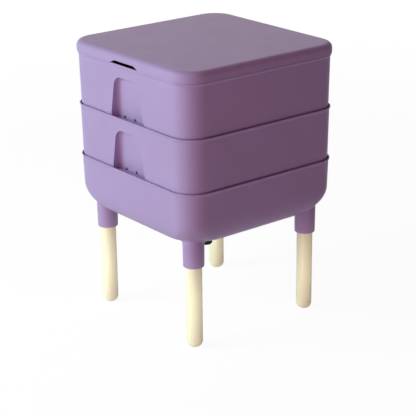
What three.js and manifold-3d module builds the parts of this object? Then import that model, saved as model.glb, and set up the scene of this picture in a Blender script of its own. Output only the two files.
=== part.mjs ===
// Wormery: a lid and two stacking worm trays over a collector base on four round wooden legs,
// with a drain tap under the middle of the base.
// Millimetres, +Z up, origin on the ground under the middle of the stack.
// -Y is the front, where the trays' finger recesses and the lid's notch are; the back has the same.

import * as THREE from 'three';
import { mergeVertices } from 'three/addons/utils/BufferGeometryUtils.js';
import Module from 'manifold-3d';

const wasm = await Module();
wasm.setup();

// Fits shared by every piece
const SEAT_GAP = 0.3;
const OVERRUN = 2;

// Square stack: half widths are measured from the middle to a flat side
const FOOT_HALF_WIDTH = 185;
const WALL_DRAFT = 2.2;
const WALL = 3;
const CORNER_RADIUS = 44;
const LOWER_CORNER_RADIUS = 40;

// Rim of every unit, and the ledge inside it that carries the unit above
const RIM_THICKNESS = 3.2;
const RIM_BAND = 5;
const RIM_FLARE = 4;
const RIM_CHAMFER = 0.8;
const NEST_CLEARANCE = 1;
const LEDGE_DROP = 8;
const LEDGE_WIDTH = 4.5;
const LEDGE_THICKNESS = 2.5;
const LEDGE_RAMP = 5;

// Trays
const TRAY_WALL_HEIGHT = 112.8;
const NEST_DEPTH = 5.5;
const PLUG_CLEARANCE = 0.8;
const FLOOR_THICKNESS = 3;
const FLOOR_HOLE_RADIUS = 2.5;
const FLOOR_HOLE_PITCH = 38;
const FLOOR_HOLE_MARGIN = 8;

// Finger recess in the front and back of each tray
const RECESS_FOOT_HALF_WIDTH = 54;
const RECESS_TOP_HALF_WIDTH = 40;
const RECESS_TOP_DROP = 25;
const RECESS_CORNER_RADIUS = 20;
const RECESS_FOOT_DEPTH = 21;
const RECESS_TOP_DEPTH = 10;
const RECESS_SHELF_LIFT = 1.5;
const RECESS_WALL = 2.5;
const VENT_WIDTH = 8;
const VENT_HEIGHT = 7;
const VENT_PITCH = 33;
const VENT_COUNT = 3;

// Lid
const LID_OVERHANG = 1.3;
const LID_HEIGHT = 21.9;
const LID_TOP_FILLET = 12.4;
const LID_WALL = 3;
const LID_RIB_DEPTH = 6;
const LID_RIB_THICKNESS = 2.2;
const NOTCH_FOOT_HALF_WIDTH = 45.6;
const NOTCH_TOP_HALF_WIDTH = 31.7;
const NOTCH_HEIGHT = 6.5;

// Collector base
const BASE_HEIGHT = 113.4;
const BASE_FOOT_DRAFT = 1.7;
const BASE_FILLET_HEIGHT = 54;
const BASE_FILLET_WIDTH = 38;
const BASE_FOOT_CORNER_RADIUS = 85;
const DRAIN_FALL = 5;
const DRAIN_PAD_HALF_WIDTH = 26;

// Legs and the sockets that take them
const LEG_LENGTH = 239.7;
const LEG_RADIUS = 15.8;
const LEG_FOOT_ROUNDING = 12.8;
const LEG_TOP_CHAMFER = 2;
const LEG_INSET = 43.1;
const SOCKET_DROP = 44;
const SOCKET_WALL = 4.3;
const SOCKET_ROOF = 3;
const SOCKET_MOUTH_ROUNDING = 1.5;
const SOCKET_DRAFT = 0.8;
const SOCKET_BORE_RISE = 27;

// Drain tap: the flow runs straight down through it, and a plug across it turns to open
const TAP_BORE_RADIUS = 7.8;
const TAIL_RADIUS = 10;
const TAIL_LENGTH = 21;
const THREAD_DEPTH = 0.6;
const THREAD_PITCH = 3;
const WASHER_THICKNESS = 3;
const INNER_WASHER_THICKNESS = 2;
const WASHER_RADIUS = 16.5;
const FLANGE_RADIUS = 18;
const FLANGE_THICKNESS = 4;
const NUT_HALF_FLATS = 15;
const NUT_THICKNESS = 8;
const NUT_SIDES = 6;
const TAP_BODY_RADIUS = 13.4;
const TAP_BODY_LENGTH = 70;
const TAP_FOOT_ROUNDING = 4;
const PLUG_DROP = 36;
const PLUG_RADIUS = 11.6;
const BARREL_WALL = 3;
const BARREL_HALF_LENGTH = 20;
const LEVER_HUB_THICKNESS = 9;
const LEVER_HUB_WALL = 3;
const LEVER_LENGTH = 40;
const LEVER_WIDTH = 12;
const LEVER_THICKNESS = 5;
const RING_GROOVE_DEPTH = 1.6;
const RING_GROOVE_WIDTH = 2.4;
const CLIP_THICKNESS = 1.6;
const CLIP_WIDTH = 4;
const CLIP_GROOVE_DEPTH = 1.5;
const PLUG_TAIL = 3;

// Facets
const CORNER_STEPS = 6;
const FILLET_STEPS = 5;
const ROUNDING_STEPS = 5;
const ROUND_STEPS = 24;
const TAP_STEPS = 20;
const SEAL_STEPS = 6;
const HOLE_STEPS = 6;
const HALF_TURN = Math.PI;
const QUARTER_TURN = Math.PI / 2;

// Half widths and heights that the mating pieces share
const wallTopHalf = FOOT_HALF_WIDTH + WALL_DRAFT;
const rimInnerHalf = FOOT_HALF_WIDTH + NEST_CLEARANCE;
const rimOuterHalf = rimInnerHalf + RIM_THICKNESS;
const ledgeInnerHalf = rimInnerHalf - LEDGE_WIDTH;
const plugHalf = ledgeInnerHalf - PLUG_CLEARANCE;
const trayUnderside = -NEST_DEPTH;
const trayFloorTop = trayUnderside + FLOOR_THICKNESS;
const legPlace = FOOT_HALF_WIDTH - LEG_INSET;
const socketBoreRadius = LEG_RADIUS + SEAT_GAP;
const socketRadius = socketBoreRadius + SOCKET_WALL;
const barrelBoreRadius = PLUG_RADIUS + SEAT_GAP;
const barrelRadius = barrelBoreRadius + BARREL_WALL;

// Heights of the stacked units above the ground: the legs' tops carry the base's socket roofs
const baseZ = LEG_LENGTH + SEAT_GAP - SOCKET_BORE_RISE;
const baseRimZ = baseZ + BASE_HEIGHT;
const lowerTrayZ = baseRimZ - LEDGE_DROP + SEAT_GAP;
const upperTrayZ = lowerTrayZ + TRAY_WALL_HEIGHT - LEDGE_DROP + SEAT_GAP;
const lidZ = upperTrayZ + TRAY_WALL_HEIGHT + SEAT_GAP;

// A closed solid from a three.js geometry, turned so that its faces point out
function solid(geometry) {
  const bare = geometry.clone();
  bare.deleteAttribute('normal');
  bare.deleteAttribute('uv');
  const merged = mergeVertices(bare);
  const position = merged.getAttribute('position');
  const corners = [];
  for (let i = 0; i < merged.index.count; i += 3) {
    const [a, b, c] = [0, 1, 2].map((k) => merged.index.getX(i + k));
    if (a !== b && b !== c && c !== a) corners.push(a, b, c);
  }
  const vertex = (i) => new THREE.Vector3().fromBufferAttribute(position, i);
  let volume = 0;
  for (let i = 0; i < corners.length; i += 3) {
    const [a, b, c] = [0, 1, 2].map((k) => vertex(corners[i + k]));
    volume += a.dot(b.cross(c));
  }
  if (volume < 0) corners.reverse();
  const mesh = new wasm.Mesh({
    numProp: 3,
    vertProperties: new Float32Array(position.array),
    triVerts: new Uint32Array(corners),
  });
  return new wasm.Manifold(mesh);
}

function union(solids) {
  return solids.reduce((whole, next) => whole.add(next));
}

function cutAll(body, cuts) {
  return body.subtract(union(cuts));
}

// A named mesh from a solid, with flat facets
function piece(name, body, material) {
  const { vertProperties, triVerts } = body.getMesh();
  const indexed = new THREE.BufferGeometry();
  indexed.setAttribute('position', new THREE.BufferAttribute(vertProperties, 3));
  indexed.setIndex(new THREE.BufferAttribute(triVerts, 1));
  const geometry = indexed.toNonIndexed();
  geometry.computeVertexNormals();
  const mesh = new THREE.Mesh(geometry, material);
  mesh.name = name;
  return mesh;
}

// Corner radius of the square outline at a given half width, so that walls keep their thickness
function cornerAt(half) {
  const offset = CORNER_RADIUS + half - FOOT_HALF_WIDTH;
  return Math.min(half, Math.max(offset, LOWER_CORNER_RADIUS));
}

// A profile point: half width, height and, where it isn't the usual one, corner radius
function at(half, height, corner = cornerAt(half)) {
  return { half, height, corner };
}

// A solid of rounded-square outlines: a lathe whose circles are drawn out into squares
function squareLathe(profile) {
  const perQuarter = CORNER_STEPS + 1;
  const segments = 4 * perQuarter;
  const points = profile.map((p) => new THREE.Vector2(p.half, p.height));
  const lathe = new THREE.LatheGeometry(points, segments);
  const position = lathe.getAttribute('position');
  for (let i = 0; i <= segments; i += 1) {
    const quarter = Math.floor((i % segments) / perQuarter);
    const step = (i % segments) % perQuarter;
    const turn = (quarter + step / CORNER_STEPS) * QUARTER_TURN;
    const middle = (quarter + 0.5) * QUARTER_TURN;
    const side = { x: Math.sign(Math.cos(middle)), y: Math.sign(Math.sin(middle)) };
    profile.forEach((p, j) => {
      const x = side.x * (p.half - p.corner) + p.corner * Math.cos(turn);
      const y = side.y * (p.half - p.corner) + p.corner * Math.sin(turn);
      position.setXYZ(i * profile.length + j, x, y, p.height);
    });
  }
  return solid(lathe);
}

// A round solid about the Z axis, from radius and height pairs
function roundLathe(pairs, steps = ROUND_STEPS) {
  const points = pairs.map(([radius, height]) => new THREE.Vector2(radius, height));
  return solid(new THREE.LatheGeometry(points, steps).rotateX(QUARTER_TURN));
}

// A round bar or hole along Z between two heights
function rod(radius, bottom, top, steps = ROUND_STEPS) {
  const height = top - bottom;
  const bar = new THREE.CylinderGeometry(radius, radius, height, steps).rotateX(QUARTER_TURN);
  return solid(bar.translate(0, 0, bottom + height / 2));
}

// The same along Y
function crossRod(radius, from, to) {
  const length = to - from;
  const bar = new THREE.CylinderGeometry(radius, radius, length, TAP_STEPS);
  return solid(bar.translate(0, from + length / 2, 0));
}

// Radius and height pairs round the lower outside edge of a bar that stands at a height
function roundedFoot(radius, rounding, height) {
  const pairs = [];
  for (let i = 0; i <= ROUNDING_STEPS; i += 1) {
    const turn = (i / ROUNDING_STEPS) * QUARTER_TURN;
    pairs.push([radius - rounding * (1 - Math.sin(turn)), height + rounding * (1 - Math.cos(turn))]);
  }
  return pairs;
}

// A shape drawn in X and Z, pushed along Y from one place to another
function pushedAlongY(shape, from, to) {
  const options = { depth: to - from, bevelEnabled: false, curveSegments: CORNER_STEPS };
  const bar = new THREE.ExtrudeGeometry(shape, options);
  return solid(bar.rotateX(QUARTER_TURN).translate(0, to, 0));
}

// A shape drawn in Y and Z, pushed along X to both sides of the middle
function pushedAlongX(shape, halfLength) {
  const bar = new THREE.ExtrudeGeometry(shape, { depth: 2 * halfLength, bevelEnabled: false });
  const axes = new THREE.Matrix4().makeBasis(
    new THREE.Vector3(0, 1, 0), new THREE.Vector3(0, 0, 1), new THREE.Vector3(1, 0, 0));
  return solid(bar.translate(0, 0, -halfLength).applyMatrix4(axes));
}

function polygon(pairs) {
  return new THREE.Shape(pairs.map(([x, y]) => new THREE.Vector2(x, y)));
}

// The same solid at the front and, turned half round, at the back
function frontAndBack(front) {
  return union([front, front.rotate([0, 0, 180])]);
}

// Outside of a unit's rim, from the wall below it up to the inner edge of its flat top
function rimOutside(top) {
  return [
    at(wallTopHalf, top - RIM_BAND - RIM_FLARE),
    at(rimOuterHalf, top - RIM_BAND),
    at(rimOuterHalf, top - RIM_CHAMFER),
    at(rimOuterHalf - RIM_CHAMFER, top),
    at(0, top),
  ];
}

// Inside of a unit's rim: the ledge with its ramp, and the mouth above it
function rimInside(top) {
  const ledge = top - LEDGE_DROP;
  return [
    at(wallTopHalf - WALL, ledge - LEDGE_THICKNESS - LEDGE_RAMP),
    at(ledgeInnerHalf, ledge - LEDGE_THICKNESS),
    at(ledgeInnerHalf, ledge),
    at(rimInnerHalf, ledge),
    at(rimInnerHalf, top + OVERRUN),
    at(0, top + OVERRUN),
  ];
}

// Finger recess seen from the front: straight flaring sides and a top with round corners
function recessOutline(margin, foot) {
  const shelf = RECESS_SHELF_LIFT;
  const top = TRAY_WALL_HEIGHT - RECESS_TOP_DROP;
  const footHalf = RECESS_FOOT_HALF_WIDTH + margin;
  const topHalf = RECESS_TOP_HALF_WIDTH + margin;
  const crown = top + margin;
  const radius = RECESS_CORNER_RADIUS + margin;
  const shape = new THREE.Shape();
  shape.moveTo(-footHalf, foot);
  shape.lineTo(footHalf, foot);
  shape.lineTo(footHalf, shelf);
  shape.lineTo(topHalf, crown - radius);
  shape.quadraticCurveTo(topHalf, crown, topHalf - radius, crown);
  shape.lineTo(radius - topHalf, crown);
  shape.quadraticCurveTo(-topHalf, crown, -topHalf, crown - radius);
  shape.lineTo(-footHalf, shelf);
  shape.closePath();
  return shape;
}

// The recess as a solid, grown by a margin; its back wall leans in towards the foot
function recessSolid(margin, foot) {
  const crown = TRAY_WALL_HEIGHT - RECESS_TOP_DROP + margin;
  const outside = -(rimOuterHalf + OVERRUN);
  const backFoot = -FOOT_HALF_WIDTH + RECESS_FOOT_DEPTH + margin;
  const backTop = -wallTopHalf + RECESS_TOP_DEPTH + margin;
  const front = pushedAlongY(recessOutline(margin, foot), outside, backFoot + OVERRUN);
  const wedge = polygon([
    [outside - OVERRUN, foot - OVERRUN],
    [backFoot, foot - OVERRUN],
    [backFoot, RECESS_SHELF_LIFT],
    [backTop, crown],
    [backTop, crown + OVERRUN],
    [outside - OVERRUN, crown + OVERRUN],
  ]);
  return front.intersect(pushedAlongX(wedge, RECESS_FOOT_HALF_WIDTH + margin + OVERRUN));
}

// Pointed air vents through the foot of a recess's back wall
function ventCuts() {
  const back = -FOOT_HALF_WIDTH + RECESS_FOOT_DEPTH;
  const vents = [];
  for (let i = 0; i < VENT_COUNT; i += 1) {
    const x = (i - (VENT_COUNT - 1) / 2) * VENT_PITCH;
    const shape = polygon([
      [x - VENT_WIDTH / 2, RECESS_SHELF_LIFT],
      [x + VENT_WIDTH / 2, RECESS_SHELF_LIFT],
      [x, RECESS_SHELF_LIFT + VENT_HEIGHT],
    ]);
    vents.push(pushedAlongY(shape, back - OVERRUN, back + RECESS_WALL + OVERRUN));
  }
  return union(vents);
}

// Worm holes in a square grid over the flat floor between the two recesses
function floorHoles() {
  const pocket = RECESS_FOOT_DEPTH + RECESS_WALL;
  const reach = FOOT_HALF_WIDTH - pocket - FLOOR_HOLE_MARGIN - FLOOR_HOLE_RADIUS;
  const count = Math.floor(2 * reach / FLOOR_HOLE_PITCH) + 1;
  const hole = rod(FLOOR_HOLE_RADIUS, trayUnderside - OVERRUN, trayFloorTop + OVERRUN, HOLE_STEPS);
  const holes = [];
  for (let i = 0; i < count; i += 1) {
    for (let j = 0; j < count; j += 1) {
      const x = (i - (count - 1) / 2) * FLOOR_HOLE_PITCH;
      const y = (j - (count - 1) / 2) * FLOOR_HOLE_PITCH;
      holes.push(hole.translate([x, y, 0]));
    }
  }
  return union(holes);
}

// A tray from its shoulder, at height 0, up to its rim; the plug below sinks into the unit below
function traySolid() {
  const top = TRAY_WALL_HEIGHT;
  const outside = squareLathe([
    at(0, trayUnderside),
    at(plugHalf, trayUnderside),
    at(plugHalf, 0),
    at(FOOT_HALF_WIDTH, 0),
    ...rimOutside(top),
  ]);
  const inside = squareLathe([
    at(0, trayFloorTop),
    at(plugHalf - WALL, trayFloorTop),
    at(plugHalf - WALL, WALL),
    at(FOOT_HALF_WIDTH - WALL, WALL),
    ...rimInside(top),
  ]);
  const pockets = frontAndBack(recessSolid(RECESS_WALL, trayUnderside)).intersect(outside);
  const recesses = frontAndBack(recessSolid(0, RECESS_SHELF_LIFT));
  const shell = outside.subtract(inside).add(pockets);
  return cutAll(shell, [recesses, frontAndBack(ventCuts()), floorHoles()]);
}

// Quarter ellipse of profile points from a side wall down to a flat foot
function bottomFillet(half, foot, width, height, footCorner) {
  const points = [];
  for (let i = 0; i <= FILLET_STEPS; i += 1) {
    const turn = (1 - i / FILLET_STEPS) * QUARTER_TURN;
    const inset = width * (1 - Math.cos(QUARTER_TURN - turn));
    const share = inset / width;
    const corner = cornerAt(half) + (footCorner - cornerAt(half)) * share;
    points.push(at(half - inset, foot + height * (1 - Math.cos(turn)), corner));
  }
  return points.reverse();
}

// Collector base from its underside, at height 0: tank, four leg sockets and the drain hole
function baseSolid() {
  const footHalf = wallTopHalf - BASE_FOOT_DRAFT;
  const outside = squareLathe([
    at(0, -DRAIN_FALL),
    at(DRAIN_PAD_HALF_WIDTH, -DRAIN_FALL),
    ...bottomFillet(footHalf, 0, BASE_FILLET_WIDTH, BASE_FILLET_HEIGHT, BASE_FOOT_CORNER_RADIUS),
    ...rimOutside(BASE_HEIGHT),
  ]);
  const inside = squareLathe([
    at(0, WALL - DRAIN_FALL),
    at(DRAIN_PAD_HALF_WIDTH, WALL - DRAIN_FALL),
    ...bottomFillet(footHalf - WALL, WALL, BASE_FILLET_WIDTH - WALL, BASE_FILLET_HEIGHT - WALL,
      BASE_FOOT_CORNER_RADIUS - WALL),
    ...rimInside(BASE_HEIGHT),
  ]);
  const mouth = -SOCKET_DROP;
  const roof = SOCKET_BORE_RISE + SOCKET_ROOF;
  const socket = roundLathe([
    [0, mouth],
    [socketRadius - SOCKET_MOUTH_ROUNDING, mouth],
    [socketRadius, mouth + SOCKET_MOUTH_ROUNDING],
    [socketRadius + SOCKET_DRAFT, roof],
    [0, roof],
  ]);
  const bore = rod(socketBoreRadius, mouth - OVERRUN, SOCKET_BORE_RISE);
  const places = [[-1, -1], [1, -1], [1, 1], [-1, 1]].map(([x, y]) => [x * legPlace, y * legPlace, 0]);
  const sockets = union(places.map((place) => socket.translate(place)));
  const bores = union(places.map((place) => bore.translate(place)));
  const drain = rod(TAIL_RADIUS + SEAT_GAP, -DRAIN_FALL - OVERRUN, WALL + OVERRUN);
  return cutAll(outside.subtract(inside).add(sockets), [bores, drain]);
}

// Lid from its lower edge, at height 0: skirt, crown and the rib that drops into the tray's mouth
function lidSolid() {
  const half = rimOuterHalf + LID_OVERHANG;
  const ribOuter = rimInnerHalf - NEST_CLEARANCE;
  const ribInner = ribOuter - LID_RIB_THICKNESS;
  const crown = (edgeHalf, top, fillet) => {
    const points = [];
    for (let i = 0; i <= FILLET_STEPS; i += 1) {
      const turn = (i / FILLET_STEPS) * QUARTER_TURN;
      points.push(at(edgeHalf - fillet * (1 - Math.cos(turn)), top - fillet * (1 - Math.sin(turn))));
    }
    return points;
  };
  const outside = squareLathe([
    at(0, 0),
    at(half, 0),
    ...crown(half, LID_HEIGHT, LID_TOP_FILLET),
    at(0, LID_HEIGHT),
  ]);
  const inside = squareLathe([
    at(0, -OVERRUN),
    at(half - LID_WALL, -OVERRUN),
    ...crown(half - LID_WALL, LID_HEIGHT - LID_WALL, LID_TOP_FILLET - LID_WALL),
    at(0, LID_HEIGHT - LID_WALL),
  ]);
  const rib = squareLathe([
    at(ribInner, -LID_RIB_DEPTH),
    at(ribOuter, -LID_RIB_DEPTH),
    at(ribOuter, LID_HEIGHT - LID_WALL / 2),
    at(ribInner, LID_HEIGHT - LID_WALL / 2),
    at(ribInner, -LID_RIB_DEPTH),
  ]);
  const notch = pushedAlongY(polygon([
    [-NOTCH_FOOT_HALF_WIDTH, -LID_RIB_DEPTH - OVERRUN],
    [NOTCH_FOOT_HALF_WIDTH, -LID_RIB_DEPTH - OVERRUN],
    [NOTCH_FOOT_HALF_WIDTH, 0],
    [NOTCH_TOP_HALF_WIDTH, NOTCH_HEIGHT],
    [-NOTCH_TOP_HALF_WIDTH, NOTCH_HEIGHT],
    [-NOTCH_FOOT_HALF_WIDTH, 0],
  ]), -half - OVERRUN, -ribInner + OVERRUN);
  return cutAll(outside.subtract(inside).add(rib), [frontAndBack(notch)]);
}

// Wooden leg with a rounded foot and a chamfered top
function legSolid() {
  return roundLathe([
    [0, 0],
    ...roundedFoot(LEG_RADIUS, LEG_FOOT_ROUNDING, 0),
    [LEG_RADIUS, LEG_LENGTH - LEG_TOP_CHAMFER],
    [LEG_RADIUS - LEG_TOP_CHAMFER, LEG_LENGTH],
    [0, LEG_LENGTH],
  ]);
}

// Flat round washer between two heights
function washerSolid(inner, outer, bottom, top) {
  const section = [[inner, bottom], [outer, bottom], [outer, top], [inner, top], [inner, bottom]];
  return roundLathe(section, TAP_STEPS);
}

// Tap heights, measured from the underside of the tank's floor at the drain
const outerWasherTop = -SEAT_GAP;
const outerWasherBottom = outerWasherTop - WASHER_THICKNESS;
const flangeTop = outerWasherBottom - SEAT_GAP;
const innerWasherBottom = WALL + SEAT_GAP;
const innerWasherTop = innerWasherBottom + INNER_WASHER_THICKNESS;
const nutBottom = innerWasherTop + SEAT_GAP;
const plugAxis = flangeTop - PLUG_DROP;
const tapFoot = flangeTop - TAP_BODY_LENGTH;

// Tap body: threaded tail, flange, round body and the cross barrel for the plug
function tapBodySolid() {
  const tail = [];
  const turns = Math.floor((TAIL_LENGTH - OVERRUN) / THREAD_PITCH);
  const threadTop = flangeTop + TAIL_LENGTH;
  for (let i = 0; i < turns; i += 1) {
    const crest = threadTop - turns * THREAD_PITCH + i * THREAD_PITCH;
    tail.push([TAIL_RADIUS - THREAD_DEPTH, crest]);
    tail.push([TAIL_RADIUS, crest + THREAD_PITCH / 2]);
  }
  const outside = roundLathe([
    [0, tapFoot],
    ...roundedFoot(TAP_BODY_RADIUS, TAP_FOOT_ROUNDING, tapFoot),
    [TAP_BODY_RADIUS, flangeTop - FLANGE_THICKNESS],
    [FLANGE_RADIUS, flangeTop - FLANGE_THICKNESS],
    [FLANGE_RADIUS, flangeTop],
    [TAIL_RADIUS - THREAD_DEPTH, flangeTop],
    ...tail,
    [TAIL_RADIUS - THREAD_DEPTH, threadTop],
    [0, threadTop],
  ], TAP_STEPS);
  const half = BARREL_HALF_LENGTH;
  const barrel = crossRod(barrelRadius, -half, half).translate([0, 0, plugAxis]);
  const reach = half + OVERRUN;
  const plugBore = crossRod(barrelBoreRadius, -reach, reach).translate([0, 0, plugAxis]);
  const flow = rod(TAP_BORE_RADIUS, tapFoot - OVERRUN, threadTop + OVERRUN, TAP_STEPS);
  return cutAll(outside.add(barrel), [plugBore, flow]);
}

// Hexagonal back nut inside the tank
function backNutSolid() {
  const across = NUT_HALF_FLATS / Math.cos(HALF_TURN / NUT_SIDES);
  const hexagon = rod(across, nutBottom, nutBottom + NUT_THICKNESS, NUT_SIDES);
  const top = nutBottom + NUT_THICKNESS;
  const bore = rod(TAIL_RADIUS + SEAT_GAP, nutBottom - OVERRUN, top + OVERRUN, TAP_STEPS);
  return hexagon.subtract(bore);
}

// Places along the plug, measured from its middle: the lever's hub is at the front
const hubBack = -BARREL_HALF_LENGTH - SEAT_GAP;
const hubFront = hubBack - LEVER_HUB_THICKNESS;
const plugFront = hubFront + LEVER_HUB_WALL;
const clipFront = BARREL_HALF_LENGTH + SEAT_GAP;
const clipBack = clipFront + CLIP_THICKNESS;
const plugBack = clipBack + SEAT_GAP + PLUG_TAIL;
const ringMiddle = -(BARREL_HALF_LENGTH + TAP_BODY_RADIUS) / 2;

// A round solid about the Y axis at the plug's height, from radius and place pairs
function plugTurned(pairs) {
  const points = pairs.map(([radius, place]) => new THREE.Vector2(radius, place));
  return solid(new THREE.LatheGeometry(points, TAP_STEPS));
}

// Turning plug with its cross hole, closed at rest, a groove for the seal and one for the clip
function plugSolid() {
  const ringFloor = PLUG_RADIUS - RING_GROOVE_DEPTH;
  const clipFloor = PLUG_RADIUS - CLIP_GROOVE_DEPTH;
  const body = plugTurned([
    [0, plugFront],
    [PLUG_RADIUS, plugFront],
    [PLUG_RADIUS, ringMiddle - RING_GROOVE_WIDTH / 2],
    [ringFloor, ringMiddle - RING_GROOVE_WIDTH / 2],
    [ringFloor, ringMiddle + RING_GROOVE_WIDTH / 2],
    [PLUG_RADIUS, ringMiddle + RING_GROOVE_WIDTH / 2],
    [PLUG_RADIUS, clipFront - SEAT_GAP],
    [clipFloor, clipFront - SEAT_GAP],
    [clipFloor, clipBack + SEAT_GAP],
    [PLUG_RADIUS, clipBack + SEAT_GAP],
    [PLUG_RADIUS, plugBack],
    [0, plugBack],
  ]);
  const reach = PLUG_RADIUS + OVERRUN;
  const hole = new THREE.CylinderGeometry(TAP_BORE_RADIUS, TAP_BORE_RADIUS, 2 * reach, TAP_STEPS);
  return body.subtract(solid(hole.rotateZ(QUARTER_TURN)));
}

// Seal ring in the plug's groove
function sealRingSolid() {
  const radius = (barrelBoreRadius - (PLUG_RADIUS - RING_GROOVE_DEPTH)) / 2 - SEAT_GAP;
  const middle = PLUG_RADIUS - RING_GROOVE_DEPTH + SEAT_GAP + radius;
  const points = [];
  for (let i = 0; i <= SEAL_STEPS; i += 1) {
    const turn = (i / SEAL_STEPS) * 2 * HALF_TURN;
    points.push([middle + radius * Math.cos(turn), ringMiddle + radius * Math.sin(turn)]);
  }
  return plugTurned(points);
}

// Open spring clip that keeps the plug in its barrel
function clipSolid() {
  const inner = PLUG_RADIUS - CLIP_GROOVE_DEPTH + SEAT_GAP;
  const outer = inner + CLIP_WIDTH;
  const ring = plugTurned([
    [inner, clipFront], [outer, clipFront], [outer, clipBack], [inner, clipBack], [inner, clipFront],
  ]);
  const mouth = polygon([
    [0, 0], [inner, -outer], [inner, -outer - OVERRUN], [-inner, -outer - OVERRUN], [-inner, -outer],
  ]);
  return ring.subtract(pushedAlongY(mouth, clipFront - OVERRUN, clipBack + OVERRUN));
}

// Lever: a capped hub over the plug's front end and a flat arm with a round tip, shut across the flow
function leverSolid() {
  const hubRadius = PLUG_RADIUS + SEAT_GAP + LEVER_HUB_WALL;
  const hub = crossRod(hubRadius, hubFront, hubBack);
  const arm = new THREE.Shape();
  const tip = LEVER_WIDTH / 2;
  arm.moveTo(0, -tip);
  arm.lineTo(-LEVER_LENGTH + tip, -tip);
  arm.absarc(-LEVER_LENGTH + tip, 0, tip, -QUARTER_TURN, QUARTER_TURN, true);
  arm.lineTo(0, tip);
  arm.closePath();
  const bar = pushedAlongY(arm, hubFront, hubFront + LEVER_THICKNESS);
  const bore = crossRod(PLUG_RADIUS + SEAT_GAP, plugFront - SEAT_GAP, hubBack + OVERRUN);
  return hub.add(bar).subtract(bore);
}

const plastic = new THREE.MeshStandardMaterial({ color: 0x7d5a92, roughness: 0.5, metalness: 0 });
const wood = new THREE.MeshStandardMaterial({ color: 0xe9dcae, roughness: 0.7, metalness: 0 });
const tapPlastic = new THREE.MeshStandardMaterial({ color: 0x141416, roughness: 0.35, metalness: 0 });
const rubber = new THREE.MeshStandardMaterial({ color: 0x2a2a2c, roughness: 0.85, metalness: 0 });
const steel = new THREE.MeshStandardMaterial({ color: 0x9a9da0, roughness: 0.35, metalness: 1 });

const wormery = new THREE.Group();

const lid = piece('lid', lidSolid(), plastic);
lid.position.z = lidZ;
const upperTray = piece('upper_tray', traySolid(), plastic);
upperTray.position.z = upperTrayZ;
const lowerTray = piece('lower_tray', traySolid(), plastic);
lowerTray.position.z = lowerTrayZ;
const base = piece('collector_base', baseSolid(), plastic);
base.position.z = baseZ;
wormery.add(lid, upperTray, lowerTray, base);

const legPlaces = {
  leg_front_left: [-1, -1],
  leg_front_right: [1, -1],
  leg_back_right: [1, 1],
  leg_back_left: [-1, 1],
};
for (const [name, [x, y]] of Object.entries(legPlaces)) {
  const leg = piece(name, legSolid(), wood);
  leg.position.set(x * legPlace, y * legPlace, 0);
  wormery.add(leg);
}

const tap = new THREE.Group();
tap.position.z = baseZ - DRAIN_FALL;
const holeRadius = TAIL_RADIUS + SEAT_GAP;
tap.add(piece('tap_body', tapBodySolid(), tapPlastic));
tap.add(piece('tap_outer_washer',
  washerSolid(holeRadius, WASHER_RADIUS, outerWasherBottom, outerWasherTop), rubber));
tap.add(piece('tap_inner_washer',
  washerSolid(holeRadius, WASHER_RADIUS, innerWasherBottom, innerWasherTop), rubber));
tap.add(piece('tap_back_nut', backNutSolid(), tapPlastic));

const tapHandle = new THREE.Group();
tapHandle.position.z = plugAxis;
tapHandle.add(piece('tap_plug', plugSolid(), tapPlastic));
tapHandle.add(piece('tap_seal_ring', sealRingSolid(), rubber));
tapHandle.add(piece('tap_clip', clipSolid(), steel));
tapHandle.add(piece('tap_lever', leverSolid(), tapPlastic));
tap.add(tapHandle);
wormery.add(tap);

export default wormery;
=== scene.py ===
import math
from typing import NamedTuple, Optional

import bmesh
import bpy
from bpy.props import FloatProperty, FloatVectorProperty, PointerProperty
from mathutils import Euler, Matrix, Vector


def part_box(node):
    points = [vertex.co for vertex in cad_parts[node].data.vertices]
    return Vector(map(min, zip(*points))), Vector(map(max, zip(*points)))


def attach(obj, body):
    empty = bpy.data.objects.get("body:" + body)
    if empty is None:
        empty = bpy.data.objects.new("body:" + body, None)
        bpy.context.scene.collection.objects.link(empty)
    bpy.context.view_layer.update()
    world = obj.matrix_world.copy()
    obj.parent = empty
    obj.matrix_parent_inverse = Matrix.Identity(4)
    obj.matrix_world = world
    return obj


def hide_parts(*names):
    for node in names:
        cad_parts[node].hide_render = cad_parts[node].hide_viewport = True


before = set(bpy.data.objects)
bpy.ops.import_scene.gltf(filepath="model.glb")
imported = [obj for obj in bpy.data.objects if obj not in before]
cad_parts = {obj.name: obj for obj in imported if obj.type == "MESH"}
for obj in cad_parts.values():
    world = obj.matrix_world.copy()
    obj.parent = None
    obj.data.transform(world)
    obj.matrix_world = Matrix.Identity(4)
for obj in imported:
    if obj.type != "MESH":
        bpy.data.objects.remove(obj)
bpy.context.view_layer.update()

bl_info = {
    "name": "Wormery",
    "version": (1, 0, 0),
    "blender": (4, 5, 0),
    "location": "3D View > Sidebar > Wormery",
    "description": "A stacking wormery: lid, two trays, collector base, wooden legs and drain tap",
    "category": "Add Mesh",
}

MM = 0.001

# Play between pieces that fit together, in millimetres as all sizes below
GAP = 0.3

# Places shared by the pieces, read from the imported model


def low(node, axis):
    """Lowest place of a node along an axis, at rest"""
    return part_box(node)[0][axis] / MM


def high(node, axis):
    """Highest place of a node along an axis, at rest"""
    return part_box(node)[1][axis] / MM


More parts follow.
